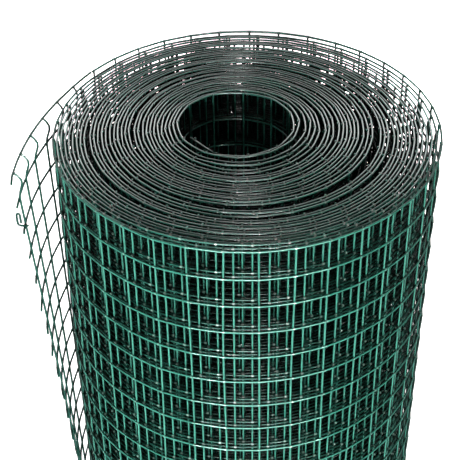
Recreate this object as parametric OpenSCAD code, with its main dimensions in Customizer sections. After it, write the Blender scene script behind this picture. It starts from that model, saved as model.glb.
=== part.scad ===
// Roll of welded wire fencing, standing on its end.
// The wound strip is one turned body with its bore, and the edge wire of every
// turn shows as a spiral ridge on both ends. The last few cells of the strip
// stand off the roll as open mesh, with a tie wire hooked on their free edge.
// The front is -Y, the right is +X, and lengths are in millimetres. Angles round the roll
// run counter-clockwise, seen from above, from the side on which the turns lie loose.

/* [Mesh] */
// Spacing of the wires, centre to centre, in both directions
mesh_pitch = 12.7; // [8:0.1:30]
// Diameter of a wire with its coating
wire_d = 0.9; // [0.6:0.05:1.6]
// How far two crossing wires sink into each other at a weld
weld_sink = 0.36; // [0.2:0.02:0.5]
// Cells across the strip, which give the height of the standing roll
cells_high = 39; // [8:1:60]

/* [Wound roll] */
// Length of the strip
strip_length = 10000; // [4000:500:25000]
// Diameter of the open bore
bore_d = 43.2; // [25:0.2:90]
// Angle from the front to the side on which the turns lie loose
loose_angle = 30; // [-90:1:90]
// Free gap between two turns on the loose side
gap_loose = 0.38; // [0.02:0.01:0.8]
// Free gap between two turns on the tight side, opposite the loose one
gap_tight = 0.02; // [0.02:0.01:0.5]
// How much wider in radius than the turn below the last turn has sprung
last_spring = 2.2; // [1:0.1:6]
// Angle before the loose side at which the last turn begins to spring
lift_turn = 30; // [0:1:90]
// Depth of the grooves between the edge wires on the two ends
groove_depth = 2; // [0.5:0.1:6]

/* [Loose end] */
// Angle past the tight side at which the strip leaves the roll
leave_turn = 27; // [10:1:90]
// Cells of the strip that stand off the roll
loose_cells = 6; // [3:1:12]
// Cells, counted up from the bottom, over which the loose end still lies on the roll
closed_cells = 20; // [2:1:32]
// How much wider than the roll the loose end springs at its top edge
spring_top = 63; // [5:1:120]
// How much wider than the roll the loose end lies where it is closed
spring_bottom = 1; // [0.5:0.5:10]
// Length of the cut wire stubs past the last cross wire
stub_length = 5; // [3:0.5:10]
// Diameter of the bead of coating at the bend of a cross wire
bend_bead_d = 1.1; // [1:0.05:2]

/* [Tie wire] */
// Row of the mesh, counted down from the top edge, on which the tie hangs
tie_row = 2; // [1:1:6]
// Height of the hook
tie_height = 6.6; // [5:0.1:10]
// How far the hook stands out from the mesh
tie_reach = 2.4; // [1.6:0.1:4]
// Length of the hook's lower leg on the inner side of the mesh
tie_tail = 2.4; // [1:0.1:5]
// Bend radius of the tie, at the middle of the wire
tie_bend = 1.1; // [0.9:0.05:1.6]
// Clearance of the tie from the wires that it touches
tie_clearance = 0.05; // [0.02:0.01:0.2]

/* [Hidden] */

coat_green = "#0d4a3b";
tie_green = "#1d4f44";

wire_faces = 24;
bar_sides = 6;
turn_faces = 180;
half_turn = 180;
quarter_turn = 90;
overrun = 1;

// Mesh: line wires run round the roll on the outside, cross wires stand inside them
weld_offset = wire_d - weld_sink;
mesh_thickness = wire_d + weld_offset;
roll_height = cells_high * mesh_pitch + wire_d;

// Winding: turn k passes the loose side at loose_r(k) and the tight side at tight_r(k)
pitch_tight = mesh_thickness + gap_tight;
pitch_loose = mesh_thickness + gap_loose;
pitch_mean = (pitch_tight + pitch_loose) / 2;
first_r = bore_d / 2 + weld_offset + wire_d / 2;
turns = floor((sqrt(first_r * first_r + pitch_mean * strip_length / PI) - first_r) / pitch_mean);

function loose_r(k) = first_r + k * pitch_loose;
function tight_r(k) = first_r + pitch_tight / 2 + k * pitch_tight;

// A turn is two half circles, from the loose side to the tight side and back, that meet
// tangent. Their centres lie off the bore's axis, towards the loose side.
function outward(angle) = [sin(angle), -cos(angle)];
function first_radius(k) = (loose_r(k) + tight_r(k)) / 2;
function first_centre(k) = (loose_r(k) - tight_r(k)) / 2 * outward(0);
function second_radius(k) = (loose_r(k + 1) + tight_r(k)) / 2;
function second_centre(k) = (loose_r(k + 1) - tight_r(k)) / 2 * outward(0);

// The last turn is one wider arc that leaves the turn below on its tangent
lift_angle = -lift_turn;
leave_angle = half_turn + leave_turn;
last_radius = second_radius(turns - 1) + last_spring;
last_centre = second_centre(turns - 1) - last_spring * outward(lift_angle);

// Loose end: every row is an arc that leaves the last turn on its tangent
leave_out = outward(leave_angle);
leave_point = last_centre + last_radius * leave_out;
loose_length = loose_cells * mesh_pitch;
top_radius = last_radius + spring_top;
bottom_radius = last_radius + spring_bottom;

function degrees(length, radius) = length / radius * half_turn / PI;
function on_arc(length, radius, inset) =
    leave_point - radius * leave_out
    + (radius - inset) * outward(leave_angle + degrees(length, radius));

// A cross wire lies on the roll up to its bend and leans out straight above it,
// and each row's arc is the one that passes the last cross wire
function row_z(row) = wire_d / 2 + row * mesh_pitch;
bend_z = row_z(closed_cells) + mesh_pitch / 2;
last_bottom = on_arc(loose_length, bottom_radius, 0);
last_top = on_arc(loose_length, top_radius, 0);
function open_share(row) = max(0, (row_z(row) - bend_z) / (roll_height - bend_z));
function last_at(row) = last_bottom + (last_top - last_bottom) * open_share(row);
function row_chord(row) = norm(last_at(row) - leave_point);
function row_rise(row) = (leave_point - last_at(row)) * leave_out;
function row_radius(row) = row_chord(row) ^ 2 / (2 * row_rise(row));
function row_turn(row) = 2 * asin(row_chord(row) / (2 * row_radius(row)));

// Tie: it stands past the last cross wire and rests on the stub of its row
tie_mesh_row = cells_high - tie_row;
tie_angle = leave_angle + row_turn(tie_mesh_row);
tie_side = wire_d + tie_clearance;
tie_lift = wire_d + tie_clearance;
tie_spine = tie_height - wire_d - 2 * tie_bend;

// The side of a line through the origin that a circle of the given radius reaches
module half_plane(reach) {
    translate([-reach - overrun, 0])
        square([2 * (reach + overrun), reach + overrun]);
}

// What its children have in an angle of up to half a turn, from the start angle on
module slice_plan(reach, start, sweep) {
    rotate(start - quarter_turn)
    intersection() {
        children();
        half_plane(reach);
        rotate(sweep - half_turn)
            half_plane(reach);
    }
}

// The plan of a wire along part of a turn
module wire_plan(radius, centre, start, sweep) {
    outer = radius + wire_d / 2;
    translate(centre)
    slice_plan(outer, start, sweep)
    difference() {
        circle(r = outer, $fn = turn_faces);
        circle(r = outer - wire_d, $fn = turn_faces);
    }
}

// The plan of all that lies inside the outer face of part of a turn
module sector_plan(radius, centre, start, sweep) {
    outer = radius + wire_d / 2;
    translate(centre)
    slice_plan(outer, start, sweep)
        circle(r = outer, $fn = turn_faces);
}

// The core that fills the roll up to its first turn
module core_plan() {
    sector_plan(first_radius(0), first_centre(0), 0, half_turn);
    sector_plan(second_radius(0), second_centre(0), half_turn, half_turn);
}

// All that lies inside the last turn, with the step where the last turn leaves the roll
module body_plan() {
    sector_plan(second_radius(turns - 1), second_centre(turns - 1), half_turn, half_turn);
    sector_plan(last_radius, last_centre, lift_angle, half_turn);
    sector_plan(last_radius, last_centre, lift_angle + half_turn, lift_turn + leave_turn);
}

// The edge wires of all the turns, as one spiral
module edge_plan() {
    for (k = [1:turns - 1]) {
        wire_plan(first_radius(k), first_centre(k), 0, half_turn);
        wire_plan(second_radius(k), second_centre(k), half_turn,
            k < turns - 1 ? half_turn : half_turn - lift_turn);
    }
    wire_plan(last_radius, last_centre, lift_angle, half_turn);
    wire_plan(last_radius, last_centre, lift_angle + half_turn, lift_turn + leave_turn);
}

module wound_roll() {
    color(coat_green)
    rotate([0, 0, loose_angle])
    difference() {
        union() {
            linear_extrude(height = roll_height)
                core_plan();
            translate([0, 0, groove_depth])
            linear_extrude(height = roll_height - 2 * groove_depth)
                body_plan();
            for (z = [0, roll_height - groove_depth])
                translate([0, 0, z])
                linear_extrude(height = groove_depth)
                    edge_plan();
        }
        translate([0, 0, -overrun])
            cylinder(d = bore_d, h = roll_height + 2 * overrun, $fn = turn_faces);
    }
}

// A straight round wire between two points
module wire_between(from, to) {
    run = to - from;
    translate(from)
    rotate([0, acos(run.z / norm(run)), atan2(run.y, run.x)])
        cylinder(d = wire_d, h = norm(run), $fn = bar_sides);
}

// A line wire of the loose end, with its stub past the last cross wire
module loose_line_wire(row) {
    radius = row_radius(row);
    pivot = leave_point - radius * leave_out;
    translate([pivot.x, pivot.y, row_z(row)])
    rotate([0, 0, leave_angle - quarter_turn])
    rotate_extrude(angle = row_turn(row) + degrees(stub_length, radius), $fn = turn_faces)
    translate([radius, 0])
        circle(d = wire_d, $fn = bar_sides);
}

// A cross wire of the loose end, on the inner side of the line wires, with a bead at its bend
module loose_cross_wire(column) {
    length = column * mesh_pitch;
    foot = on_arc(length, bottom_radius, weld_offset);
    head = on_arc(length, top_radius, weld_offset);
    wire_between([foot.x, foot.y, 0], [foot.x, foot.y, bend_z]);
    wire_between([foot.x, foot.y, bend_z], [head.x, head.y, roll_height]);
    translate([foot.x, foot.y, bend_z])
        sphere(d = bend_bead_d, $fn = wire_faces);
}

module loose_end() {
    color(coat_green)
    rotate([0, 0, loose_angle])
    union() {
        for (row = [0:cells_high])
            loose_line_wire(row);
        for (column = [1:loose_cells])
            loose_cross_wire(column);
    }
}

// A quarter bend of the tie in its own upright plane, from the outward run to the upward run
module tie_corner() {
    rotate([quarter_turn, 0, 0])
    rotate([0, 0, -quarter_turn])
    rotate_extrude(angle = quarter_turn, $fn = turn_faces)
    translate([tie_bend, 0])
        circle(d = wire_d, $fn = wire_faces);
}

// A straight leg of the tie that points inward
module tie_leg(length) {
    rotate([0, -quarter_turn, 0])
        cylinder(d = wire_d, h = length, $fn = wire_faces);
}

module tie_wire() {
    spot = last_at(tie_mesh_row) + tie_side * outward(tie_angle + quarter_turn);
    color(tie_green)
    rotate([0, 0, loose_angle])
    translate([spot.x, spot.y, row_z(tie_mesh_row) + tie_lift])
    rotate([0, 0, tie_angle - quarter_turn])
    translate([tie_reach, 0, 0]) {
        tie_leg(tie_reach + tie_tail);
        translate([0, 0, tie_bend])
            tie_corner();
        translate([tie_bend, 0, tie_bend])
            cylinder(d = wire_d, h = tie_spine, $fn = wire_faces);
        translate([0, 0, tie_bend + tie_spine])
            mirror([0, 0, 1])
            tie_corner();
        translate([0, 0, 2 * tie_bend + tie_spine])
            tie_leg(tie_reach);
    }
}

wound_roll();
loose_end();
tie_wire();
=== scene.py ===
import math

import bpy
import numpy as np
from mathutils import Matrix, Vector


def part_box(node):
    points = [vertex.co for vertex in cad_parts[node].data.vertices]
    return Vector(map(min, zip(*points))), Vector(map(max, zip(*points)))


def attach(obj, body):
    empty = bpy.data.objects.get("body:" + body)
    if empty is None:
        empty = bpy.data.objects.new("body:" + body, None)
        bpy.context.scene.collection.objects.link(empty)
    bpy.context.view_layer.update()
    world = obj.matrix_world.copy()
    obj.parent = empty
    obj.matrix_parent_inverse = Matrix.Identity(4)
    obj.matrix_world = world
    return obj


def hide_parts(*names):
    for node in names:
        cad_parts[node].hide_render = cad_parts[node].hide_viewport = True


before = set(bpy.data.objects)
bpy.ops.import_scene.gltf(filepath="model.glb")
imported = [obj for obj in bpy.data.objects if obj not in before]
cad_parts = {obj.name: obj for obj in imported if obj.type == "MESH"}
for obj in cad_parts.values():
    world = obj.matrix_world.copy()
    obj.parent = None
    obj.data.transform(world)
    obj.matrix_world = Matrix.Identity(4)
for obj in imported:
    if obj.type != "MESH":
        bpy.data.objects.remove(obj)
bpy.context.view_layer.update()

bl_info = {
    "name": "Wire Fencing Roll",
    "version": (1, 0, 0),
    "blender": (4, 5, 0),
    "location": "3D View > Sidebar > Fencing",
    "description": "Winds a strip of coated welded mesh into a standing roll with a sprung loose end",
    "category": "Add Mesh",
}

BODY = "root"
COAT_SLOT = "coated_wire"
TIE_SLOT = "tie_coat"
ROLL_LOW, ROLL_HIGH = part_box("wound_roll")
ROLL_HEIGHT = ROLL_HIGH[2] - ROLL_LOW[2]
PHOTO_PX = 460
PHOTO_FOCAL_PX = 1239.562
# Lamps whose light the loose end and the tie are kept out of
MAIN_LAMPS = ("back_panel", "front_strip", "left_strip", "left_fill")
# Turns round the core, and turns counted from the outside at which the wires are made finer, step by step
CORE_TURNS = 3
OUTER_TURNS = 5
UNDER_TURNS = 3
SKIN_TURNS = 1
# Rows at the foot and the head of the roll where the middle turns show and are made finer
FOOT_ROWS = 3
HEAD_ROWS = 4


# Settings

class FencingMeshSettings(bpy.types.PropertyGroup):
    """Sizes of the flat mesh"""

    pitch: bpy.props.FloatProperty(
        name="Mesh", description="Spacing of the wires, centre to centre", default=0.0127, unit="LENGTH")
    wire_d: bpy.props.FloatProperty(
        name="Wire", description="Diameter of a wire with its coat", default=0.0009, unit="LENGTH")
    weld_sink: bpy.props.FloatProperty(
        name="Weld Sink", description="How far crossing wires sink into each other",
        default=0.00036, unit="LENGTH")
    weld_swell: bpy.props.FloatProperty(
        name="Weld Swell", description="Thickening of a line wire at a weld", default=0.2, subtype="FACTOR")
    cells_high: bpy.props.IntProperty(
        name="Cells High", description="Cells across the strip", default=39)
    height: bpy.props.FloatProperty(
        name="Height", description="Height of the standing roll", default=ROLL_HEIGHT, unit="LENGTH")
    nub: bpy.props.FloatProperty(
        name="Nubs", description="How far the cross wires stand past the edge wires",
        default=0.0002, unit="LENGTH")


class FencingWindingSettings(bpy.types.PropertyGroup):
    """How the strip is wound"""

    bore_d: bpy.props.FloatProperty(
        name="Core", description="Diameter of the open core", default=0.0432, unit="LENGTH")
    turns: bpy.props.IntProperty(
        name="Turns", description="Whole turns of the strip", default=32)
    loose_angle: bpy.props.FloatProperty(
        name="Loose Side", description="Angle from the front to the side on which the turns lie loose",
        default=math.radians(30), subtype="ANGLE")
    gap_loose: bpy.props.FloatProperty(
        name="Gap at Loose Side", description="Mean free gap between turns on the loose side",
        default=0.00038, unit="LENGTH")
    gap_tight: bpy.props.FloatProperty(
        name="Gap at Tight Side", description="Mean free gap between turns opposite the loose side",
        default=0.00002, unit="LENGTH")
    last_spring: bpy.props.FloatProperty(
        name="Last Spring", description="How much wider in radius the last turn is than the turn below",
        default=0.0022, unit="LENGTH")
    lift_turn: bpy.props.FloatProperty(
        name="Lift Angle", description="Angle before the loose side at which the last turn begins to spring",
        default=math.radians(30), subtype="ANGLE")
    leave_turn: bpy.props.FloatProperty(
        name="Leave Angle", description="Angle past the tight side at which the strip leaves the roll",
        default=math.radians(27), subtype="ANGLE")
    front_phase: bpy.props.FloatProperty(
        name="Front Phase", description="Angle of the outer cross wire next to the front",
        default=0.0995, subtype="ANGLE")
    cells_to_front: bpy.props.IntProperty(
        name="Cells to Front", description="Cells from that cross wire to where the strip leaves",
        default=24)
    flats: bpy.props.FloatProperty(
        name="Flats", description="How flat the line wires stay between the cross wires",
        default=0.45, subtype="FACTOR")
    sag: bpy.props.FloatProperty(
        name="Edge Sag", description="How unevenly the turns end at the top", default=0.0009, unit="LENGTH")
    sway: bpy.props.FloatProperty(
        name="Sway", description="How far the outer cross wires stray along the strip",
        default=0.0004, unit="LENGTH")
    seed: bpy.props.IntProperty(
        name="Seed", description="Start value of the uneven gaps", default=7)
    tail_angle: bpy.props.FloatProperty(
        name="Tail Angle", description="Where the inner end bends off the first turn",
        default=math.radians(-21), subtype="ANGLE")
    tail_bend: bpy.props.FloatProperty(
        name="Tail Bend", description="How far the inner end bends into the core",
        default=math.radians(28.5), subtype="ANGLE")
    tail_length: bpy.props.FloatProperty(
        name="Tail", description="Length of the inner end", default=0.0158, unit="LENGTH")


class FencingLooseEndSettings(bpy.types.PropertyGroup):
    """The end of the strip that has sprung off the roll"""

    cells: bpy.props.IntProperty(
        name="Loose Cells", description="Cells that stand off the roll", default=6)
    closed_cells: bpy.props.IntProperty(
        name="Closed Cells", description="Cells from the bottom that still lie on the roll", default=20)
    spring_top: bpy.props.FloatProperty(
        name="Spring Top", description="How much wider than the roll it springs at the top",
        default=0.063, unit="LENGTH")
    spring_bottom: bpy.props.FloatProperty(
        name="Spring Bottom", description="How much wider than the roll it lies when closed",
        default=0.001, unit="LENGTH")
    stub: bpy.props.FloatProperty(
        name="Stubs", description="Mean length of the cut stubs", default=0.005, unit="LENGTH")
    lip: bpy.props.FloatProperty(
        name="Lip", description="How far the cross wires are bowed inwards below the top edge",
        default=0.0022, unit="LENGTH")
    tie_row: bpy.props.IntProperty(
        name="Tie Row", description="Row from the top on which the tie hangs", default=2)


class FencingFinishSettings(bpy.types.PropertyGroup):
    """Colours of the coat, its painted shade and painted weld glints, and the stage"""

    coat: bpy.props.FloatVectorProperty(
        name="Coat", description="Colour of the wire coat", size=3,
        default=(0.031, 0.195, 0.14), subtype="COLOR")
    coat_pale: bpy.props.FloatVectorProperty(
        name="Pale Coat", description="Colour of the coat where it is rubbed", size=3,
        default=(0.064, 0.29, 0.217), subtype="COLOR")
    # Painted shade: the colour the coat is darkened to deep between the turns, where shade falls
    nook_painted_shade: bpy.props.FloatVectorProperty(
        name="Nook Shade", description="Colour of the coat deep between the turns", size=3,
        default=(0.0008, 0.004, 0.003), subtype="COLOR")
    # Painted highlight: a pale colour mixed into the coat on the welds, standing in for weld glints
    weld_glint: bpy.props.FloatVectorProperty(
        name="Weld Glints", description="Colour of the coat gathered on the welds", size=3,
        default=(0.3, 0.48, 0.41), subtype="COLOR")
    dust: bpy.props.FloatVectorProperty(
        name="Dust", description="Colour of the dust on upper sides", size=3,
        default=(0.2, 0.235, 0.22), subtype="COLOR")
    # Painted shade: the tie's coat is a darker copy of the strip's green coat
    tie_shaded_coat: bpy.props.FloatVectorProperty(
        name="Tie", description="Colour of the tie wire's coat", size=3,
        default=(0.012, 0.06, 0.046), subtype="COLOR")
    floor: bpy.props.FloatVectorProperty(
        name="Floor", description="Colour of the floor", size=3,
        default=(0.15, 0.15, 0.15), subtype="COLOR")


# Shape of the strip

def circle_from_core(radius, centre, angle):
    """Distance from the core's axis to a circle centred towards the loose side, by angle from that side."""
    return centre * np.cos(angle) + np.sqrt(radius ** 2 - (centre * np.sin(angle)) ** 2)


def outward(angle):
    """Direction in plan at an angle from the front, counter-clockwise seen from above."""
    return np.stack([np.sin(angle), -np.cos(angle)], -1)


def bell(at, centre, width):
    """Smooth swell that is 1 at its centre and fades over its half width."""
    return np.exp(-((at - centre) / width) ** 2)


class Strip:
    """The wound strip: its line wires in plan for the bottom and top edges, and its cells along them."""

    # Uneven gaps: how many swells, their half widths in degrees, their heights, the least gap,
    # the share of the swells that both edges have in common, and passes that fit them into the roll
    SWELLS = 30
    SWELL_WIDTHS = (35, 100)
    SWELL_HEIGHTS = (0.3, 2.6)
    LEAST_GAP = 0.08
    COMMON_SHARE = 0.6
    FITTING_PASSES = 4
    # Places where the turns lie far apart: turns from the core, half width in degrees, and how far
    SLACK = ((11.65, 45, 8), (16.99, 75, 9), (22.74, 55, 9))
    # Bulge of the first turns round the core, less from turn to turn, at an angle and with a half width
    BULGE_TURNS = 5
    BULGE = 5.5
    BULGE_LOSS = 0.9
    BULGE_DEGREES = 325
    BULGE_WIDTH = 75
    # Uneven top edge: degrees from one place to the next, the outer stretch that is calmer and how calm,
    # and one dip, by degrees from the start of the last turn
    SAG_STEP = 36
    CALM_DEGREES = 150
    CALM_SHARE = 0.3
    DIP_DEGREES = (-64, -54, -25, 5)
    DIP_SHARES = (0, 1, 1, 0)
    # Spring of the last turns, from the outside in: how far each follows, where it ends,
    # how it fades below the last turn, and how far the bottom and the top edge take part
    SPRING_SHARES = (1.0, 0.74, 0.5, 0.3, 0.14)
    SPRING_END = 270
    FADE_DEGREES = (75, 150, 245)
    FADE_SHARES = (1, 0.4, 0)
    EDGE_DEGREES = (-30, 85, 150, 207)
    EDGE_SHARES = ((0.35, 0.4, 0.55, 1.0), (0.95, 0.95, 0.72, 1.0))
    # Degrees by which the first turn is carried on inwards, where the inner end bends off
    LEAD_IN = 120
    # Loose end: height over which its rows begin to open, cells over which its lip grows,
    # how near the top edge the lip is deepest, and how far the edge drops with it
    EASE = 0.012
    LIP_CELLS = 1.5
    LIP_SKEW = 1.9
    LIP_DROP_SHARE = 0.25

    def __init__(self, scene):
        self.mesh, self.wind, self.end = scene.fencing_mesh, scene.fencing_winding, scene.fencing_end
        mesh, wind = self.mesh, self.wind
        self.offset = mesh.wire_d - mesh.weld_sink
        self.thick = mesh.wire_d + self.offset
        self.first = wind.bore_d / 2 + self.offset + mesh.wire_d / 2
        self.rows = mesh.cells_high + 1
        rise = (mesh.height - mesh.wire_d - 2 * mesh.nub) / mesh.cells_high
        self.row_z = mesh.wire_d / 2 + mesh.nub + rise * np.arange(self.rows)
        self.random = np.random.default_rng(wind.seed)
        self.wind_turns()
        self.place_cells()
        self.place_end()

    def half_circles(self, turn):
        """Radius and centre of the two halves of a turn, from the loose side to the tight side and back."""
        loose, tight = self.thick + self.wind.gap_loose, self.thick + self.wind.gap_tight
        from_loose, to_loose = self.first + turn * loose, self.first + (turn + 1) * loose
        at_tight = self.first + tight / 2 + turn * tight
        return (((from_loose + at_tight) / 2, (from_loose - at_tight) / 2),
                ((to_loose + at_tight) / 2, (to_loose - at_tight) / 2))

    def uneven(self):
        """Positive values along the winding that swell and shrink over a part of a turn."""
        count = self.wind.turns * 360
        at = np.arange(count)
        out = np.full(count, self.LEAST_GAP)
        centres = self.random.uniform(0, count, self.SWELLS)
        widths = self.random.uniform(*self.SWELL_WIDTHS, self.SWELLS)
        heights = self.random.uniform(*self.SWELL_HEIGHTS, self.SWELLS)
        for centre, width, height in zip(centres, widths, heights):
            out += height * bell(at, centre, width)
        for turn, width, height in self.SLACK:
            out += height * bell(at, 360 * turn, width)
        for turn in range(self.BULGE_TURNS):
            bulge = self.BULGE - self.BULGE_LOSS * turn
            out += bulge * bell(at, 360 * turn + self.BULGE_DEGREES, self.BULGE_WIDTH)
        return out

    def wind_turns(self):
        """Radius over the winding angle from the loose side, degree by degree, with uneven gaps."""
        wind = self.wind
        turns = wind.turns
        angle = np.radians(np.arange(360))
        (right_r, right_c), (left_r, left_c) = self.half_circles(turns)
        outer = np.where(angle < math.pi, circle_from_core(right_r, right_c, angle),
                         circle_from_core(left_r, left_c, angle))
        shared = self.uneven()
        self.radius = []
        for own in (self.uneven(), shared):
            raw = self.COMMON_SHARE * shared + (1 - self.COMMON_SHARE) * own
            raw = raw.reshape(turns, 360)
            pitch = self.thick + wind.gap_loose
            for _ in range(self.FITTING_PASSES):
                start = self.first + pitch * np.arange(360) / 360
                gain = (outer - start - turns * self.thick) / raw.sum(0)
                gain = gain - (gain[-1] - gain[0]) * np.arange(360) / 360
                pitch = self.thick + gain[0] * raw[0, 0]
            gaps = np.maximum(raw * gain, 0)
            sums = np.vstack([np.zeros(360), np.cumsum(gaps, 0)])
            levels = start + self.thick * np.arange(turns + 1)[:, None] + sums
            self.radius.append(levels.ravel())
        self.degrees = np.arange((turns + 1) * 360)
        self.last = turns * 360
        self.leave = self.last + 180 + math.degrees(wind.leave_turn)
        self.spring_open()
        steps = np.arange(0, (turns + 1) * 360, self.SAG_STEP)
        self.sag = np.interp(self.degrees, steps, self.random.uniform(0, 1, len(steps)))
        self.sag[self.degrees > self.last - self.CALM_DEGREES] *= self.CALM_SHARE
        self.sag += np.interp(self.degrees - self.last, self.DIP_DEGREES, self.DIP_SHARES)

    def spring_open(self):
        """Let the last turn spring, and the few turns under it follow by less and less."""
        wind = self.wind
        lift = math.degrees(wind.lift_turn)
        for back, part in enumerate(self.SPRING_SHARES):
            past = np.clip(self.degrees - self.last + 360 * back, -lift, self.SPRING_END)
            sprung = wind.last_spring * (1 - np.cos(np.radians(past) + wind.lift_turn))
            regular = (self.thick + wind.gap_tight) / 2 * (1 - np.cos(np.radians(np.clip(past, 0, 180))))
            extra = (sprung - regular) * part
            if back:
                extra = extra * np.interp(past, self.FADE_DEGREES, self.FADE_SHARES)
            for i, shares in enumerate(self.EDGE_SHARES):
                self.radius[i] = self.radius[i] + extra * np.interp(past, self.EDGE_DEGREES, shares)

    def place_cells(self):
        """Number the cells along the strip: 0 where it leaves the roll, negative on the roll."""
        wind = self.wind
        mid = (self.radius[0] + self.radius[1]) / 2
        run = np.hypot(np.diff(mid), np.radians(1) * (mid[1:] + mid[:-1]) / 2)
        length = np.concatenate([[0], np.cumsum(run)])
        front = self.last + math.degrees(wind.front_phase - wind.loose_angle)
        to_front = np.interp(self.leave, self.degrees, length) - np.interp(front, self.degrees, length)
        self.cell = to_front / wind.cells_to_front
        cells = (length - np.interp(self.leave, self.degrees, length)) / self.cell
        before = np.arange(-self.LEAD_IN, 0)
        early = cells[0] + before * math.radians(1) * self.first / self.cell
        self.cells = np.concatenate([early, cells])
        self.degrees = np.concatenate([before, self.degrees])
        for i in (0, 1):
            early = self.first + (self.radius[i][1] - self.radius[i][0]) * before
            self.radius[i] = np.concatenate([early, self.radius[i]])
        self.sag = np.concatenate([np.full(len(before), self.sag[0]), self.sag])
        bend = np.interp(math.degrees(wind.tail_angle - wind.loose_angle), self.degrees, self.cells)
        self.first_cell = int(round(bend))
        # The inner turns take up what is missing to a whole cell at the bend
        even = -2 * wind.cells_to_front
        inner = self.cells < even
        self.cells[inner] = even + (self.cells[inner] - even) * (self.first_cell - even) / (bend - even)

    def cell_at_turn(self, turn):
        """Whole cell next to the start of a turn."""
        return int(round(np.interp(turn * 360, self.degrees, self.cells)))

    def wound(self, cells, heights, inset=0.0):
        """Points and outward directions on the roll for cells along and heights up, heights first."""
        cells, heights = np.asarray(cells, float), np.asarray(heights, float)
        deg = np.interp(cells, self.cells, self.degrees)
        share = (heights / self.mesh.height)[:, None]
        low, high = (np.interp(deg, self.degrees, r) for r in self.radius)
        radius = low * (1 - share) + high * share
        between = cells - np.floor(cells)
        flat = self.wind.flats * self.cell ** 2 / 8 * (1 - (2 * between - 1) ** 2)
        radius = radius - flat / np.maximum(radius, self.first) - inset
        plan = outward(np.radians(deg) + self.wind.loose_angle)
        out = np.concatenate([plan, np.zeros((len(deg), 1))], -1)
        drop = self.wind.sag * np.interp(deg, self.degrees, self.sag) * share ** 3
        points = radius[..., None] * out
        points[..., 2] = heights[:, None] - drop
        return points, np.broadcast_to(out, points.shape)

    def tail(self, lengths, heights, inset=0.0):
        """Points of the straight inner end, by length from its bend."""
        root, out = self.wound([self.first_cell], heights, inset)
        turn = math.atan2(out[0, 0, 0], -out[0, 0, 1])
        along = math.pi + turn - self.wind.tail_bend
        step = np.array([math.cos(along), math.sin(along), 0])
        side = np.array([math.sin(turn - self.wind.tail_bend), -math.cos(turn - self.wind.tail_bend), 0])
        points = root + np.asarray(lengths)[None, :, None] * step
        return points, np.broadcast_to(side, points.shape)

    def place_end(self):
        """Arcs of the loose end for its closed and its open edge."""
        wind = self.wind
        _, (radius, centre) = self.half_circles(wind.turns - 1)
        shift = wind.last_spring * outward(wind.loose_angle - wind.lift_turn)
        pivot = centre * outward(wind.loose_angle) - shift
        radius = radius + wind.last_spring
        self.leave_angle = wind.loose_angle + math.pi + wind.leave_turn
        self.leave_out = outward(self.leave_angle)
        self.leave_point = pivot + radius * self.leave_out
        self.end_radius = (radius + self.end.spring_bottom, radius + self.end.spring_top)
        self.bend_z = self.mesh.wire_d / 2 + (self.end.closed_cells + 0.5) * self.mesh.pitch

    def loose(self, cells, heights, inset=0.0):
        """Points and outward directions on the loose end, heights first."""
        cells, heights = np.asarray(cells, float), np.asarray(heights, float)
        length = cells * self.mesh.pitch
        over = heights - self.bend_z
        share = (over + np.sqrt(over ** 2 + self.EASE ** 2)) / 2 / (self.mesh.height - self.bend_z)
        arcs = []
        for radius in self.end_radius:
            out = outward(self.leave_angle + length / radius)
            arcs.append((self.leave_point - radius * self.leave_out + radius * out, out))
        share = share[:, None, None]
        plan = arcs[0][0] * (1 - share) + arcs[1][0] * share
        out = arcs[0][1] * (1 - share) + arcs[1][1] * share
        out /= np.linalg.norm(out, axis=-1, keepdims=True)
        top = np.clip((heights - self.row_z[-2]) / (self.row_z[-1] - self.row_z[-2]), 0, 1)
        grow = np.clip(cells / self.LIP_CELLS, 0, 1)
        shift = -inset - self.end.lip * np.sin(math.pi * top ** self.LIP_SKEW)[:, None] * grow
        points = np.concatenate([plan + shift[..., None] * out, np.zeros(plan.shape[:2] + (1,))], -1)
        points[..., 2] = heights[:, None] - self.LIP_DROP_SHARE * self.end.lip * top[:, None] ** 3 * grow
        return points, np.concatenate([out, np.zeros(plan.shape[:2] + (1,))], -1)


# Wires as meshes

# Places of a line wire's rings within a cell
FINE_SHARES = (0, 0.07, 0.36, 0.64, 0.93)
CLOSE_SHARES = (0, 0.25, 0.5, 0.75)
EVEN_SHARES = (0, 1 / 3, 2 / 3)
COARSE_SHARES = (0,)


def tubes(points, sideways, radii, sides, upright=False, welds=0.0):
    """Closed wires along rows of points: corners, faces, end caps and the painted weld glint mark of each
    corner.
    """
    wires, count = points.shape[:2]
    along = np.gradient(points, axis=1)
    along /= np.linalg.norm(along, axis=-1, keepdims=True)
    other = np.cross(along, sideways)
    other /= np.linalg.norm(other, axis=-1, keepdims=True)
    across = np.cross(other, along)
    turn = np.arange(sides) * 2 * math.pi / sides + (math.pi / sides if upright else 0)
    radii = np.broadcast_to(radii, (wires, count))[..., None, None]
    corners = points[:, :, None] + radii * (
        np.cos(turn)[:, None] * across[:, :, None] + np.sin(turn)[:, None] * other[:, :, None])
    at = np.arange(wires * count * sides).reshape(wires, count, sides)
    near, far = at[:, :-1], at[:, 1:]
    quads = np.stack([near, np.roll(near, -1, 2), np.roll(far, -1, 2), far], -1).reshape(-1, 4)
    caps = np.concatenate([at[:, 0, ::-1], at[:, -1]])
    glint_marks = np.broadcast_to(welds, (wires, count)).repeat(sides)
    return corners.reshape(-1, 3), quads[:, ::-1], caps[:, ::-1], glint_marks


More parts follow.
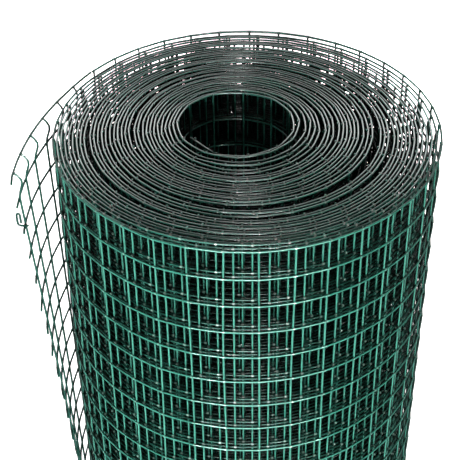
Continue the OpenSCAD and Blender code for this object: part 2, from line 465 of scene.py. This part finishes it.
def make_piece(name, batches, material, slot, *nodes):
    """Join batches of wires into one object that rides on the roll."""
    corners, faces, glint_marks, start = [], [], [], 0
    for points, quads, caps, welds in batches:
        corners.append(points)
        glint_marks.append(welds)
        faces += (quads + start).tolist() + (caps + start).tolist()
        start += len(points)
    mesh = bpy.data.meshes.new(name)
    mesh.from_pydata(np.concatenate(corners), [], faces)
    mesh.polygons.foreach_set("use_smooth", [True] * len(faces))
    if mesh.validate():
        raise RuntimeError(f"{name} has faces that don't close")
    mesh.update()
    # The weld attribute carries the painted weld glint marks
    layer = mesh.attributes.new("weld", "FLOAT", "POINT")
    layer.data.foreach_set("value", np.concatenate(glint_marks))
    mesh.materials.append(material)
    piece = bpy.data.objects.new(name, mesh)
    bpy.context.scene.collection.objects.link(piece)
    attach(piece, BODY)
    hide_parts(*nodes)
    return piece


def keep_in_shade(piece, *lamps):
    """Keep a piece out of the light of some lamps, where the stage has set them up."""
    for name in lamps:
        lamp = bpy.data.objects.get(name)
        if lamp is None:
            continue
        shaded = lamp.light_linking.receiver_collection or bpy.data.collections.new(name + "_shade")
        lamp.light_linking.receiver_collection = shaded
        shaded.objects.link(piece)
        for entry in shaded.collection_objects:
            entry.light_linking.link_state = "EXCLUDE"


def cell_samples(first, last, steps):
    """Places along the strip from one whole cell to another, with the given steps in each cell."""
    whole = np.arange(first, last)
    return np.append((whole[:, None] + np.asarray(steps)).ravel(), last)


def weld_marks(strip, cells):
    """How near each place along the strip is to a weld: 1 on it, 0 a wire's thickness off, then less."""
    return 1 - np.abs(cells - np.round(cells)) * strip.mesh.pitch / strip.mesh.wire_d


def line_wires(strip, first, last, steps, rows, sides, swell=0.0, weld_glint=0.0):
    """Line wires of some rows between two whole cells of the wound strip."""
    cells = cell_samples(first, last, steps)
    points, out = strip.wound(cells, strip.row_z[rows])
    welds = weld_marks(strip, cells)
    radii = strip.mesh.wire_d / 2 * (1 + swell * (welds == 1))
    # Each corner carries a painted weld glint mark, strongest on the welds
    return tubes(points, out, radii, sides, welds=weld_glint * welds)


# Shader groups and materials

def new_group(name, inputs, outputs):
    """Empty shader group with the named sockets."""
    group = bpy.data.node_groups.new(name, "ShaderNodeTree")
    for label, kind, default in inputs:
        socket = group.interface.new_socket(name=label, in_out="INPUT", socket_type=kind)
        socket.default_value = default
    for label, kind in outputs:
        group.interface.new_socket(name=label, in_out="OUTPUT", socket_type=kind)
    return group, group.nodes.new("NodeGroupInput"), group.nodes.new("NodeGroupOutput")


def math_node(tree, operation, a, b, clamp=False):
    """Math node fed by sockets or numbers; its result socket."""
    node = tree.nodes.new("ShaderNodeMath")
    node.operation = operation
    node.use_clamp = clamp
    for socket, value in zip(node.inputs, (a, b)):
        if isinstance(value, (int, float)):
            socket.default_value = value
        else:
            tree.links.new(value, socket)
    return node.outputs[0]


def noise_node(tree, scale, detail, roughness=0.5):
    """Noise in the object's own space, with its scale from a socket; its value socket."""
    place = tree.nodes.new("ShaderNodeTexCoord")
    node = tree.nodes.new("ShaderNodeTexNoise")
    node.inputs["Detail"].default_value = detail
    node.inputs["Roughness"].default_value = roughness
    tree.links.new(place.outputs["Object"], node.inputs["Vector"])
    tree.links.new(scale, node.inputs["Scale"])
    return node.outputs["Fac"]


def span_node(tree, value, low, high, to_low=0.0, to_high=1.0):
    """Map a value from one span to another; its result socket."""
    node = tree.nodes.new("ShaderNodeMapRange")
    node.inputs["From Min"].default_value = low
    node.inputs["From Max"].default_value = high
    node.inputs["To Min"].default_value = to_low
    node.inputs["To Max"].default_value = to_high
    tree.links.new(value, node.inputs["Value"])
    return node.outputs["Result"]


def mix_node(tree, factor, a, b):
    """Mix two colours; its result socket."""
    node = tree.nodes.new("ShaderNodeMix")
    node.data_type = "RGBA"
    tree.links.new(factor, node.inputs["Factor"])
    for name, value in (("A", a), ("B", b)):
        socket = [s for s in node.inputs if s.name == name and s.type == "RGBA"][0]
        if isinstance(value, bpy.types.NodeSocket):
            tree.links.new(value, socket)
        else:
            socket.default_value = value
    return [s for s in node.outputs if s.type == "RGBA"][0]


def group_node(tree, name, build):
    """Shader group placed in a material, built on first use."""
    node = tree.nodes.new("ShaderNodeGroup")
    node.node_tree = bpy.data.node_groups.get(name) or build()
    return node


def coat_mottle_group():
    """Colour of a dipped coat: slow clouds and rubbed pale spots."""
    group, source, result = new_group(
        "Coat Mottle",
        [("Coat", "NodeSocketColor", (0, 0.1, 0.07, 1)), ("Pale", "NodeSocketColor", (0.1, 0.2, 0.2, 1)),
         ("Cloud Scale", "NodeSocketFloat", 40.0), ("Rub Scale", "NodeSocketFloat", 260.0)],
        [("Colour", "NodeSocketColor")])
    cloud_noise = noise_node(group, source.outputs["Cloud Scale"], detail=3.0)
    rub_noise = noise_node(group, source.outputs["Rub Scale"], detail=4.0, roughness=0.6)
    clouds = span_node(group, cloud_noise, low=0.35, high=0.7, to_high=0.6)
    rubs = span_node(group, rub_noise, low=0.58, high=0.72)
    pale = math_node(group, "MAXIMUM", clouds, rubs, clamp=True)
    colour = mix_node(group, pale, source.outputs["Coat"], source.outputs["Pale"])
    group.links.new(colour, result.inputs["Colour"])
    return group


def settled_dust_group():
    """Mask of the dust that settles on upper sides."""
    group, source, result = new_group(
        "Settled Dust",
        [("Amount", "NodeSocketFloat", 0.5), ("Scale", "NodeSocketFloat", 120.0)],
        [("Mask", "NodeSocketFloat")])
    shape = group.nodes.new("ShaderNodeNewGeometry")
    split = group.nodes.new("ShaderNodeSeparateXYZ")
    group.links.new(shape.outputs["Normal"], split.inputs["Vector"])
    dust_noise = noise_node(group, source.outputs["Scale"], detail=4.0, roughness=0.6)
    up = span_node(group, split.outputs["Z"], low=0.35, high=0.95)
    patch = span_node(group, dust_noise, low=0.3, high=0.75)
    mask = math_node(group, "MULTIPLY", math_node(group, "MULTIPLY", up, patch), source.outputs["Amount"])
    group.links.new(mask, result.inputs["Mask"])
    return group


def coat_grain_group():
    """Fine waves of a drawn and dipped wire, as a height and a roughness."""
    group, source, result = new_group(
        "Coat Grain",
        [("Scale", "NodeSocketFloat", 1500.0), ("Patch Scale", "NodeSocketFloat", 180.0),
         ("Smooth", "NodeSocketFloat", 0.16), ("Rough", "NodeSocketFloat", 0.34)],
        [("Height", "NodeSocketFloat"), ("Roughness", "NodeSocketFloat")])
    grain = noise_node(group, source.outputs["Scale"], detail=2.0)
    patch = noise_node(group, source.outputs["Patch Scale"], detail=3.0)
    spread = math_node(group, "SUBTRACT", source.outputs["Rough"], source.outputs["Smooth"])
    rough = math_node(group, "ADD", source.outputs["Smooth"], math_node(group, "MULTIPLY", patch, spread))
    group.links.new(grain, result.inputs["Height"])
    group.links.new(rough, result.inputs["Roughness"])
    return group


def nook_shade_group():
    """Masks from ambient occlusion, from 0 deep between the turns to 1 in the open: Mask darkens the coat as
    painted shade, Gloss lowers its coat weight.
    """
    group, source, result = new_group(
        "Painted Nook Shade",
        [("Reach", "NodeSocketFloat", 0.03), ("Falloff", "NodeSocketFloat", 1.9)],
        [("Mask", "NodeSocketFloat"), ("Gloss", "NodeSocketFloat")])
    shade = group.nodes.new("ShaderNodeAmbientOcclusion")
    shade.samples = 6
    group.links.new(source.outputs["Reach"], shade.inputs["Distance"])
    wide = span_node(group, shade.outputs["AO"], low=0.3, high=0.76)
    mask = math_node(group, "POWER", wide, source.outputs["Falloff"])
    gloss = span_node(group, shade.outputs["AO"], low=0.38, high=0.74)
    group.links.new(mask, result.inputs["Mask"])
    group.links.new(gloss, result.inputs["Gloss"])
    return group


def wire_coat(name, finish, coat):
    """Glossy dipped coat of a wire, with painted shade deep between the turns and painted highlights on the
    welds.
    """
    known = bpy.data.materials.get(name)
    if known:
        return known
    material = bpy.data.materials.new(name)
    material.use_nodes = True
    tree = material.node_tree
    shader = tree.nodes["Principled BSDF"]
    mottle = group_node(tree, "Coat Mottle", coat_mottle_group)
    mottle.inputs["Coat"].default_value = (*coat, 1)
    mottle.inputs["Pale"].default_value = (*finish.coat_pale, 1)
    settled = group_node(tree, "Settled Dust", settled_dust_group)
    settled.inputs["Amount"].default_value = 0.08
    grain = group_node(tree, "Coat Grain", coat_grain_group)
    nook_shade = group_node(tree, "Painted Nook Shade", nook_shade_group)
    glint_attribute = tree.nodes.new("ShaderNodeAttribute")
    glint_attribute.attribute_name = "weld"
    weld_glints = span_node(tree, glint_attribute.outputs["Fac"], low=0.3, high=0.8, to_high=0.85)
    dusty = mix_node(tree, settled.outputs["Mask"], mottle.outputs["Colour"], (*finish.dust, 1))
    # Painted shade: the coat is darkened towards the nook colour deep between the turns, by ambient
    # occlusion
    shaded = mix_node(tree, nook_shade.outputs["Mask"], (*finish.nook_painted_shade, 1), dusty)
    # Painted highlight: the welds are mixed towards a pale glint colour
    colour = mix_node(tree, weld_glints, shaded, (*finish.weld_glint, 1))
    bump = tree.nodes.new("ShaderNodeBump")
    bump.inputs["Strength"].default_value = 0.12
    bump.inputs["Distance"].default_value = 0.0002
    tree.links.new(grain.outputs["Height"], bump.inputs["Height"])
    tree.links.new(colour, shader.inputs["Base Color"])
    tree.links.new(grain.outputs["Roughness"], shader.inputs["Roughness"])
    tree.links.new(bump.outputs["Normal"], shader.inputs["Normal"])
    tree.links.new(nook_shade.outputs["Gloss"], shader.inputs["Coat Weight"])
    shader.inputs["Specular IOR Level"].default_value = 0.05
    shader.inputs["Coat Roughness"].default_value = 0.16
    return material


def strip_coat(scene):
    """Coat of the fencing strip."""
    finish = scene.fencing_finish
    return wire_coat("green_wire_coat", finish, finish.coat)


# Operators

def make_turns(scene, name, *batches):
    """Make a piece of the wound strip from batches of wires."""
    return make_piece(name, batches, strip_coat(scene), COAT_SLOT, "wound_roll")


class FencingOperator(bpy.types.Operator):
    """Base of the operators that make a piece of the roll"""

    bl_options = {"REGISTER", "UNDO"}

    def execute(self, context):
        self.make(context.scene, Strip(context.scene))
        return {"FINISHED"}


class FENCING_OT_outer_turns(FencingOperator):
    """Make the line wires of the outer turns, with their welds"""

    bl_idname = "fencing.outer_turns"
    bl_label = "Outer Turns"

    def make(self, scene, strip):
        rows, swell = np.arange(strip.rows), strip.mesh.weld_swell
        edge, under, skin = (strip.cell_at_turn(strip.wind.turns - back)
                             for back in (OUTER_TURNS, UNDER_TURNS, SKIN_TURNS))
        last = line_wires(strip, skin, 0, FINE_SHARES, rows, sides=6, swell=swell, weld_glint=0.6)
        second = line_wires(strip, under, skin, FINE_SHARES, rows, sides=5, swell=swell, weld_glint=1.0)
        third = line_wires(strip, edge, under, EVEN_SHARES, rows, sides=5, weld_glint=1.0)
        keep_in_shade(make_turns(scene, "outer_turn_wires", last), "back_panel")
        make_turns(scene, "second_turn_wires", second)
        make_turns(scene, "third_turn_wires", third)


class FENCING_OT_middle_turns(FencingOperator):
    """Make the line wires of the turns between the core and the outside"""

    bl_idname = "fencing.middle_turns"
    bl_label = "Middle Turns"

    def make(self, scene, strip):
        first = strip.cell_at_turn(CORE_TURNS)
        last = strip.cell_at_turn(strip.wind.turns - OUTER_TURNS)
        rows = np.arange(strip.rows)
        hidden = rows[FOOT_ROWS:-HEAD_ROWS]
        shown = np.concatenate([rows[:FOOT_ROWS], rows[-HEAD_ROWS:]])
        coarse = line_wires(strip, first, last, COARSE_SHARES, hidden, sides=4)
        edges = line_wires(strip, first, last, EVEN_SHARES, shown, sides=6, weld_glint=0.55)
        make_turns(scene, "middle_turn_wires", coarse)
        make_turns(scene, "edge_turn_wires", edges)


class FENCING_OT_core_turns(FencingOperator):
    """Make the line wires round the core and the inner end of the strip"""

    bl_idname = "fencing.core_turns"
    bl_label = "Core Turns"

    # Rings along the inner end, and how far its wires differ in length
    TAIL_RINGS = 4
    TAIL_SPREAD = 0.04

    def make(self, scene, strip):
        rows, end = np.arange(strip.rows), strip.cell_at_turn(CORE_TURNS)
        wires = line_wires(strip, strip.first_cell, end, CLOSE_SHARES, rows, sides=6)
        spread = strip.random.uniform(-self.TAIL_SPREAD, self.TAIL_SPREAD, strip.rows)
        reach = strip.wind.tail_length * (1 + spread)
        points, side = strip.tail(np.linspace(0, 1, self.TAIL_RINGS), strip.row_z)
        points = points[:, :1] + (points - points[:, :1]) * reach[:, None, None]
        tail = tubes(points, side, strip.mesh.wire_d / 2, sides=6)
        make_turns(scene, "core_turn_wires", wires, tail)


class FENCING_OT_cross_wires(FencingOperator):
    """Make the upright cross wires of the wound strip"""

    bl_idname = "fencing.cross_wires"
    bl_label = "Cross Wires"

    # Rings along an inner and an outer upright, and waves of the outer ones over their height
    INNER_RINGS = 3
    OUTER_RINGS = 27
    WAVES = (1.5, 4.0)
    # Heights at which the inner end's upright is placed, as shares of the strip's
    TAIL_SHARES = (0.02, 0.5, 0.98)
    # Height left free under and over the uprights, and the shares of a nub that are cut off at most
    CLEAR = 1e-5
    FOOT_CUT_SHARE = 0.5
    HEAD_CUT_SHARE = 0.6

    def make(self, scene, strip):
        skin = strip.cell_at_turn(strip.wind.turns - SKIN_TURNS)
        inner = self.wires(strip, np.arange(strip.first_cell, skin), self.INNER_RINGS, sway=0.0)
        outer = self.wires(strip, np.arange(skin, 1), self.OUTER_RINGS, sway=strip.wind.sway)
        heights = np.array(self.TAIL_SHARES) * strip.mesh.height
        points, side = strip.tail([strip.cell], heights, strip.offset)
        points[0, :, 2] = strip.row_z[0]
        points[-1, :, 2] = strip.row_z[-1]
        points, side = points.swapaxes(0, 1), side.swapaxes(0, 1)
        tail = tubes(points, side, strip.mesh.wire_d / 2, sides=6, upright=True)
        make_turns(scene, "cross_wires", inner, outer, tail)

    def wires(self, strip, cells, count, sway):
        """Upright wires at the given cells, which sway a little along the strip."""
        mesh, chance = strip.mesh, strip.random
        low, high, cap = self.CLEAR, mesh.height - self.CLEAR, mesh.wire_d / 2
        # A ring close to each end keeps the shading of the end caps off the wire
        heights = np.concatenate([[low], np.linspace(low + cap, high - cap, count), [high]])
        waves = chance.uniform(*self.WAVES, len(cells))
        phase = chance.uniform(0, 2 * math.pi, len(cells))
        lean = chance.uniform(-1, 1, len(cells))
        rings = []
        for height in heights:
            share = height / mesh.height
            swing = np.sin(2 * math.pi * waves * share + phase) + lean * (share - 0.5)
            rings.append(strip.wound(cells + sway / mesh.pitch * swing, [height], strip.offset))
        points, out = (np.stack([ring[i][0] for ring in rings], 1) for i in (0, 1))
        points[:, 0, 2] += chance.uniform(0, self.FOOT_CUT_SHARE, len(cells)) * mesh.nub
        points[:, -1, 2] -= chance.uniform(0, self.HEAD_CUT_SHARE, len(cells)) * mesh.nub
        return tubes(points, out, mesh.wire_d / 2, sides=6, upright=True)


class FENCING_OT_loose_end(FencingOperator):
    """Make the end of the strip that has sprung off the roll"""

    bl_idname = "fencing.loose_end"
    bl_label = "Loose End"

    # Rings of a stub past the last upright, in cells; the last one is moved to the cut
    STUB_RINGS = (0.07, 0.2, 1)
    # Spread of the stubs: their length and the top one's as shares of the mean, then slopes up and outwards
    STUB_SHARES = (0.65, 1.4)
    TOP_STUB_SHARE = 1.35
    STUB_RISES = (-0.16, 0.08)
    STUB_SPLAYS = (-0.1, 0.14)
    # How strongly the painted weld glints show
    WELD_GLINT = 0.5
    # Further rings of the uprights where the top cell is bowed, as shares of the cell, and their lower ends
    BOW_SHARES = (0.15, 0.9)
    BOW_RINGS = 6
    FOOT = 0.0001

    def make(self, scene, strip):
        wires = [self.lines(strip), self.uprights(strip)]
        piece = make_piece("loose_end_wires", wires, strip_coat(scene), COAT_SLOT, "loose_end")
        keep_in_shade(piece, *MAIN_LAMPS)

    def lines(self, strip):
        """Line wires with their cut stubs."""
        mesh, chance, last = strip.mesh, strip.random, strip.end.cells
        cells = np.append(cell_samples(0, last, FINE_SHARES), last + np.array(self.STUB_RINGS))
        points, out = strip.loose(cells, strip.row_z)
        stubs = strip.end.stub * chance.uniform(*self.STUB_SHARES, strip.rows)
        stubs[-1] = self.TOP_STUB_SHARE * strip.end.stub
        way = points[:, -1] - points[:, -2]
        way /= np.linalg.norm(way, axis=-1, keepdims=True)
        way[:, 2] += chance.uniform(*self.STUB_RISES, strip.rows)
        way += chance.uniform(*self.STUB_SPLAYS, strip.rows)[:, None] * out[:, -1]
        points[:, -1] = points[:, -2] + (stubs - self.STUB_RINGS[-2] * mesh.pitch)[:, None] * way
        welds = weld_marks(strip, cells)
        welds[-1] = -1
        radii = mesh.wire_d / 2 * (1 + mesh.weld_swell * (welds == 1))
        return tubes(points, out, radii, sides=8, welds=self.WELD_GLINT * welds)

    def uprights(self, strip):
        """Cross wires, which are bowed in the top cell."""
        mesh = strip.mesh
        bow = strip.row_z[-2] + np.linspace(*self.BOW_SHARES, self.BOW_RINGS) * mesh.pitch
        ends = [self.FOOT, mesh.height - mesh.nub / 2]
        heights = np.sort(np.concatenate([ends, strip.row_z, bow]))
        points, out = strip.loose(np.arange(1, strip.end.cells + 1), heights, strip.offset)
        points, out = points.swapaxes(0, 1), out.swapaxes(0, 1)
        return tubes(points, out, mesh.wire_d / 2, sides=8, upright=True)


class FENCING_OT_tie_wire(FencingOperator):
    """Make the bent tie that hangs on the free edge"""

    bl_idname = "fencing.tie_wire"
    bl_label = "Tie Wire"

    # Route of the tie from the stub it hangs on, in millimetres: outwards, upwards and along the strip
    ROUTE = (
        (-1.6, 0.5, 0.5), (-1.3, 0.12, 0.3), (-0.7, 0.0, 0.12), (0.0, 0.0, 0.0), (1.0, 0.0, 0.0),
        (1.6, 0.12, 0.0), (2.1, 0.5, 0.0), (2.35, 1.1, 0.05), (2.4, 2.4, 0.1), (2.42, 4.0, 0.15),
        (2.4, 5.2, 0.2), (2.2, 5.8, 0.15), (1.75, 5.95, 0.05), (1.3, 5.7, -0.05), (1.15, 5.0, -0.1),
        (1.12, 3.6, -0.1), (1.1, 2.4, -0.1), (1.05, 1.3, -0.1))
    MILLIMETRES = 1000
    # Seat beside the stub in wire thicknesses, rings along the tie, and passes that round its bends
    SEAT = 1.06
    RINGS = 57
    ROUNDING_PASSES = 3

    def make(self, scene, strip):
        row = strip.rows - 1 - strip.end.tie_row
        spot, out = strip.loose([strip.end.cells], [strip.row_z[row]])
        out, up = Vector(out[0, 0]), Vector((0, 0, 1))
        side = up.cross(out)
        wire = strip.mesh.wire_d
        base = Vector(spot[0, 0]) + side * (wire * self.SEAT) + up * (wire * self.SEAT)
        route = np.array(self.ROUTE) / self.MILLIMETRES
        points = np.array([base + out * u + up * v + side * s for u, v, s in route])
        fine = np.linspace(0, len(points) - 1, self.RINGS)
        points = np.stack([np.interp(fine, np.arange(len(points)), points[:, i]) for i in range(3)], -1)
        for _ in range(self.ROUNDING_PASSES):
            points[1:-1] = (points[:-2] + 2 * points[1:-1] + points[2:]) / 4
        sideways = np.broadcast_to(np.array(side), points.shape)
        finish = scene.fencing_finish
        # Painted shade: the tie gets a darker copy of the green coat
        coat = wire_coat("tie_wire_shaded_coat", finish, finish.tie_shaded_coat)
        hook = tubes(points[None], sideways[None], wire / 2, sides=10)
        keep_in_shade(make_piece("tie_hook", [hook], coat, TIE_SLOT, "tie_wire"), *MAIN_LAMPS)


class FENCING_OT_stage(bpy.types.Operator):
    """Set up the floor, the soft light and the camera"""

    bl_idname = "fencing.stage"
    bl_label = "Stage"
    bl_options = {"REGISTER", "UNDO"}

    TOP = ROLL_HEIGHT
    FLOOR_REACH = 6.0
    # Brightness of the floor: its colour to the camera, its darkest shadow, and its glow in reflections
    FLOOR_SEEN = (0.9, 0.9, 0.9, 1)
    FLOOR_SHADOW = 0.6
    FLOOR_MIRRORED = 0.15
    # Brightness of the world: behind the roll in reflections, to the camera, and as light all round
    WORLD_MIRRORED = 0.9
    WORLD_SEEN = 1.06
    WORLD_LEVEL = 0.03
    # Lamps: name, place, aim, width and height, power, and whether they light the gloss or the body colour
    LAMPS = (
        ("back_panel", (0.0, 1.2, TOP + 0.8), (0, 0, TOP), (1.8, 0.7), 22.0, "gloss"),
        ("front_strip", (0.02, -0.85, TOP + 0.26), (0, 0, TOP), (0.4, 0.12), 14.0, "gloss"),
        ("left_strip", (-0.33, -1.15, TOP - 0.02), (0, 0, TOP - 0.1), (0.14, 0.3), 40.0, "gloss"),
        ("right_strip", (0.46, -1.05, TOP - 0.02), (0, 0, TOP - 0.1), (0.2, 0.3), 50.0, "gloss"),
        ("left_fill", (-0.22, -0.8, TOP - 0.08), (0, 0, 0.28), (0.25, 0.36), 10.5, "body"),
        ("right_fill", (0.2, -0.8, TOP - 0.08), (0, 0, 0.28), (0.25, 0.36), 5.0, "body"),
        ("back_fill", (0.1, 0.95, 0.24), (0, 0, 0.26), (0.5, 0.36), 9.0, "body"),
        ("side_fill", (0.85, 0.35, 0.24), (0, 0, 0.26), (0.3, 0.36), 2.6, "body"),
    )
    # Camera: lift and roll in radians, distance and aim in radii of the roll from the middle of its top
    CAMERA_LIFT = 0.5872687
    CAMERA_ROLL = -0.0135867
    CAMERA_AWAY = 6.457435
    CAMERA_AIM = (-0.0781708, 0, -0.666447)
    SENSOR_MM = 36.0
    CLIP_START = 0.01

    def execute(self, context):
        scene = context.scene
        scene.view_settings.view_transform = "Standard"
        self.add_floor(scene)
        self.add_world(scene)
        self.add_lamps(scene)
        self.add_camera(scene)
        return {"FINISHED"}

    def mirrored_rays(self, tree, rays):
        """Mask of what is seen in a reflection or through glass."""
        return math_node(tree, "MAXIMUM", rays.outputs["Is Glossy Ray"], rays.outputs["Is Transmission Ray"])

    def add_floor(self, scene):
        """Floor that the camera sees as white, with a soft shadow round the foot of the roll."""
        reach = self.FLOOR_REACH
        corners = [(-reach, -reach, 0), (reach, -reach, 0), (reach, reach, 0), (-reach, reach, 0)]
        mesh = bpy.data.meshes.new("floor")
        mesh.from_pydata(corners, [], [(0, 1, 2, 3)])
        floor = bpy.data.objects.new("floor", mesh)
        scene.collection.objects.link(floor)
        material = bpy.data.materials.new("pale_floor")
        material.use_nodes = True
        tree = material.node_tree
        shader = tree.nodes["Principled BSDF"]
        shader.inputs["Roughness"].default_value = 0.9
        rays = tree.nodes.new("ShaderNodeLightPath")
        camera_ray = rays.outputs["Is Camera Ray"]
        colour = mix_node(tree, camera_ray, (*scene.fencing_finish.floor, 1), self.FLOOR_SEEN)
        tree.links.new(colour, shader.inputs["Base Color"])
        shade = tree.nodes.new("ShaderNodeAmbientOcclusion")
        shade.inputs["Distance"].default_value = 0.2
        shadow = span_node(tree, shade.outputs["AO"], low=0.3, high=0.95, to_low=self.FLOOR_SHADOW)
        seen = math_node(tree, "MULTIPLY", camera_ray, shadow)
        mirrored = math_node(tree, "MULTIPLY", self.mirrored_rays(tree, rays), self.FLOOR_MIRRORED)
        glow = tree.nodes.new("ShaderNodeEmission")
        tree.links.new(math_node(tree, "MAXIMUM", seen, mirrored), glow.inputs["Strength"])
        both = tree.nodes.new("ShaderNodeAddShader")
        tree.links.new(shader.outputs["BSDF"], both.inputs[0])
        tree.links.new(glow.outputs["Emission"], both.inputs[1])
        tree.links.new(both.outputs["Shader"], tree.nodes["Material Output"].inputs["Surface"])
        mesh.materials.append(material)

    def add_world(self, scene):
        """World that is white to the camera, bright in reflections only from behind, and faint as light."""
        world = bpy.data.worlds.new("studio")
        scene.world = world
        world.use_nodes = True
        tree = world.node_tree
        back = tree.nodes["Background"]
        rays = tree.nodes.new("ShaderNodeLightPath")
        way = tree.nodes.new("ShaderNodeTexCoord")
        split = tree.nodes.new("ShaderNodeSeparateXYZ")
        tree.links.new(way.outputs["Generated"], split.inputs["Vector"])
        behind = span_node(tree, split.outputs["Y"], low=0.2, high=0.6, to_high=self.WORLD_MIRRORED)
        mirrored = math_node(tree, "MULTIPLY", self.mirrored_rays(tree, rays), behind)
        seen = math_node(tree, "MAXIMUM", rays.outputs["Is Camera Ray"], mirrored)
        bright = math_node(tree, "MULTIPLY", seen, self.WORLD_SEEN)
        back.inputs["Color"].default_value = (1, 1, 1, 1)
        tree.links.new(math_node(tree, "ADD", bright, self.WORLD_LEVEL), back.inputs["Strength"])

    def add_lamps(self, scene):
        """Area lamps that the camera doesn't see, each for the gloss or for the body colour."""
        for name, place, aim, size, power, kind in self.LAMPS:
            light = bpy.data.lights.new(name, "AREA")
            light.shape = "RECTANGLE"
            light.size, light.size_y = size
            light.energy = power
            lamp = bpy.data.objects.new(name, light)
            lamp.location = place
            lamp.rotation_euler = (Vector(aim) - Vector(place)).to_track_quat("-Z", "Y").to_euler()
            lamp.visible_camera = False
            lamp.visible_diffuse, lamp.visible_glossy = kind == "body", kind == "gloss"
            scene.collection.objects.link(lamp)

    def add_camera(self, scene):
        """Camera as the photograph was taken, placed from the middle of the roll's top end."""
        strip = Strip(scene)
        (radius, centre), _ = strip.half_circles(strip.wind.turns)
        middle = Vector((*(centre * outward(strip.wind.loose_angle)), strip.row_z[-1]))
        lift = Vector((0, -math.cos(self.CAMERA_LIFT), math.sin(self.CAMERA_LIFT)))
        eye = middle + radius * self.CAMERA_AWAY * lift
        aim = middle + radius * Vector(self.CAMERA_AIM)
        camera = bpy.data.cameras.new("photo_camera")
        camera.sensor_width = self.SENSOR_MM
        camera.lens = self.SENSOR_MM * PHOTO_FOCAL_PX / PHOTO_PX
        camera.clip_start = self.CLIP_START
        view = bpy.data.objects.new("photo_camera", camera)
        turn = (aim - eye).to_track_quat("-Z", "Y").to_matrix().to_4x4()
        view.matrix_world = Matrix.Translation(eye) @ turn @ Matrix.Rotation(self.CAMERA_ROLL, 4, "Z")
        scene.collection.objects.link(view)
        scene.camera = view


class FENCING_PT_panel(bpy.types.Panel):
    """Sizes and steps of the fencing roll"""

    bl_label = "Wire Fencing Roll"
    bl_idname = "FENCING_PT_panel"
    bl_space_type = "VIEW_3D"
    bl_region_type = "UI"
    bl_category = "Fencing"

    def draw(self, context):
        layout = self.layout
        for label, name in (("Mesh", "fencing_mesh"), ("Winding", "fencing_winding"),
                            ("Loose End", "fencing_end"), ("Finish", "fencing_finish")):
            group = getattr(context.scene, name)
            box = layout.box()
            box.label(text=label)
            for setting in group.bl_rna.properties.keys():
                if setting not in ("rna_type", "name"):
                    box.prop(group, setting)
        for operator in OPERATORS:
            layout.operator(operator.bl_idname)


SETTINGS = {
    "fencing_mesh": FencingMeshSettings,
    "fencing_winding": FencingWindingSettings,
    "fencing_end": FencingLooseEndSettings,
    "fencing_finish": FencingFinishSettings,
}
OPERATORS = (
    FENCING_OT_stage,
    FENCING_OT_outer_turns,
    FENCING_OT_middle_turns,
    FENCING_OT_core_turns,
    FENCING_OT_cross_wires,
    FENCING_OT_loose_end,
    FENCING_OT_tie_wire,
)


def register():
    for settings in SETTINGS.values():
        bpy.utils.register_class(settings)
    for name, settings in SETTINGS.items():
        setattr(bpy.types.Scene, name, bpy.props.PointerProperty(type=settings))
    for operator in OPERATORS:
        bpy.utils.register_class(operator)
    bpy.utils.register_class(FENCING_PT_panel)


def unregister():
    bpy.utils.unregister_class(FENCING_PT_panel)
    for operator in reversed(OPERATORS):
        bpy.utils.unregister_class(operator)
    for name, settings in SETTINGS.items():
        delattr(bpy.types.Scene, name)
        bpy.utils.unregister_class(settings)


def main():
    register()
    bpy.ops.fencing.stage()
    bpy.ops.fencing.outer_turns()
    bpy.ops.fencing.middle_turns()
    bpy.ops.fencing.core_turns()
    bpy.ops.fencing.cross_wires()
    bpy.ops.fencing.loose_end()
    bpy.ops.fencing.tie_wire()


if __name__ == "__main__":
    main()
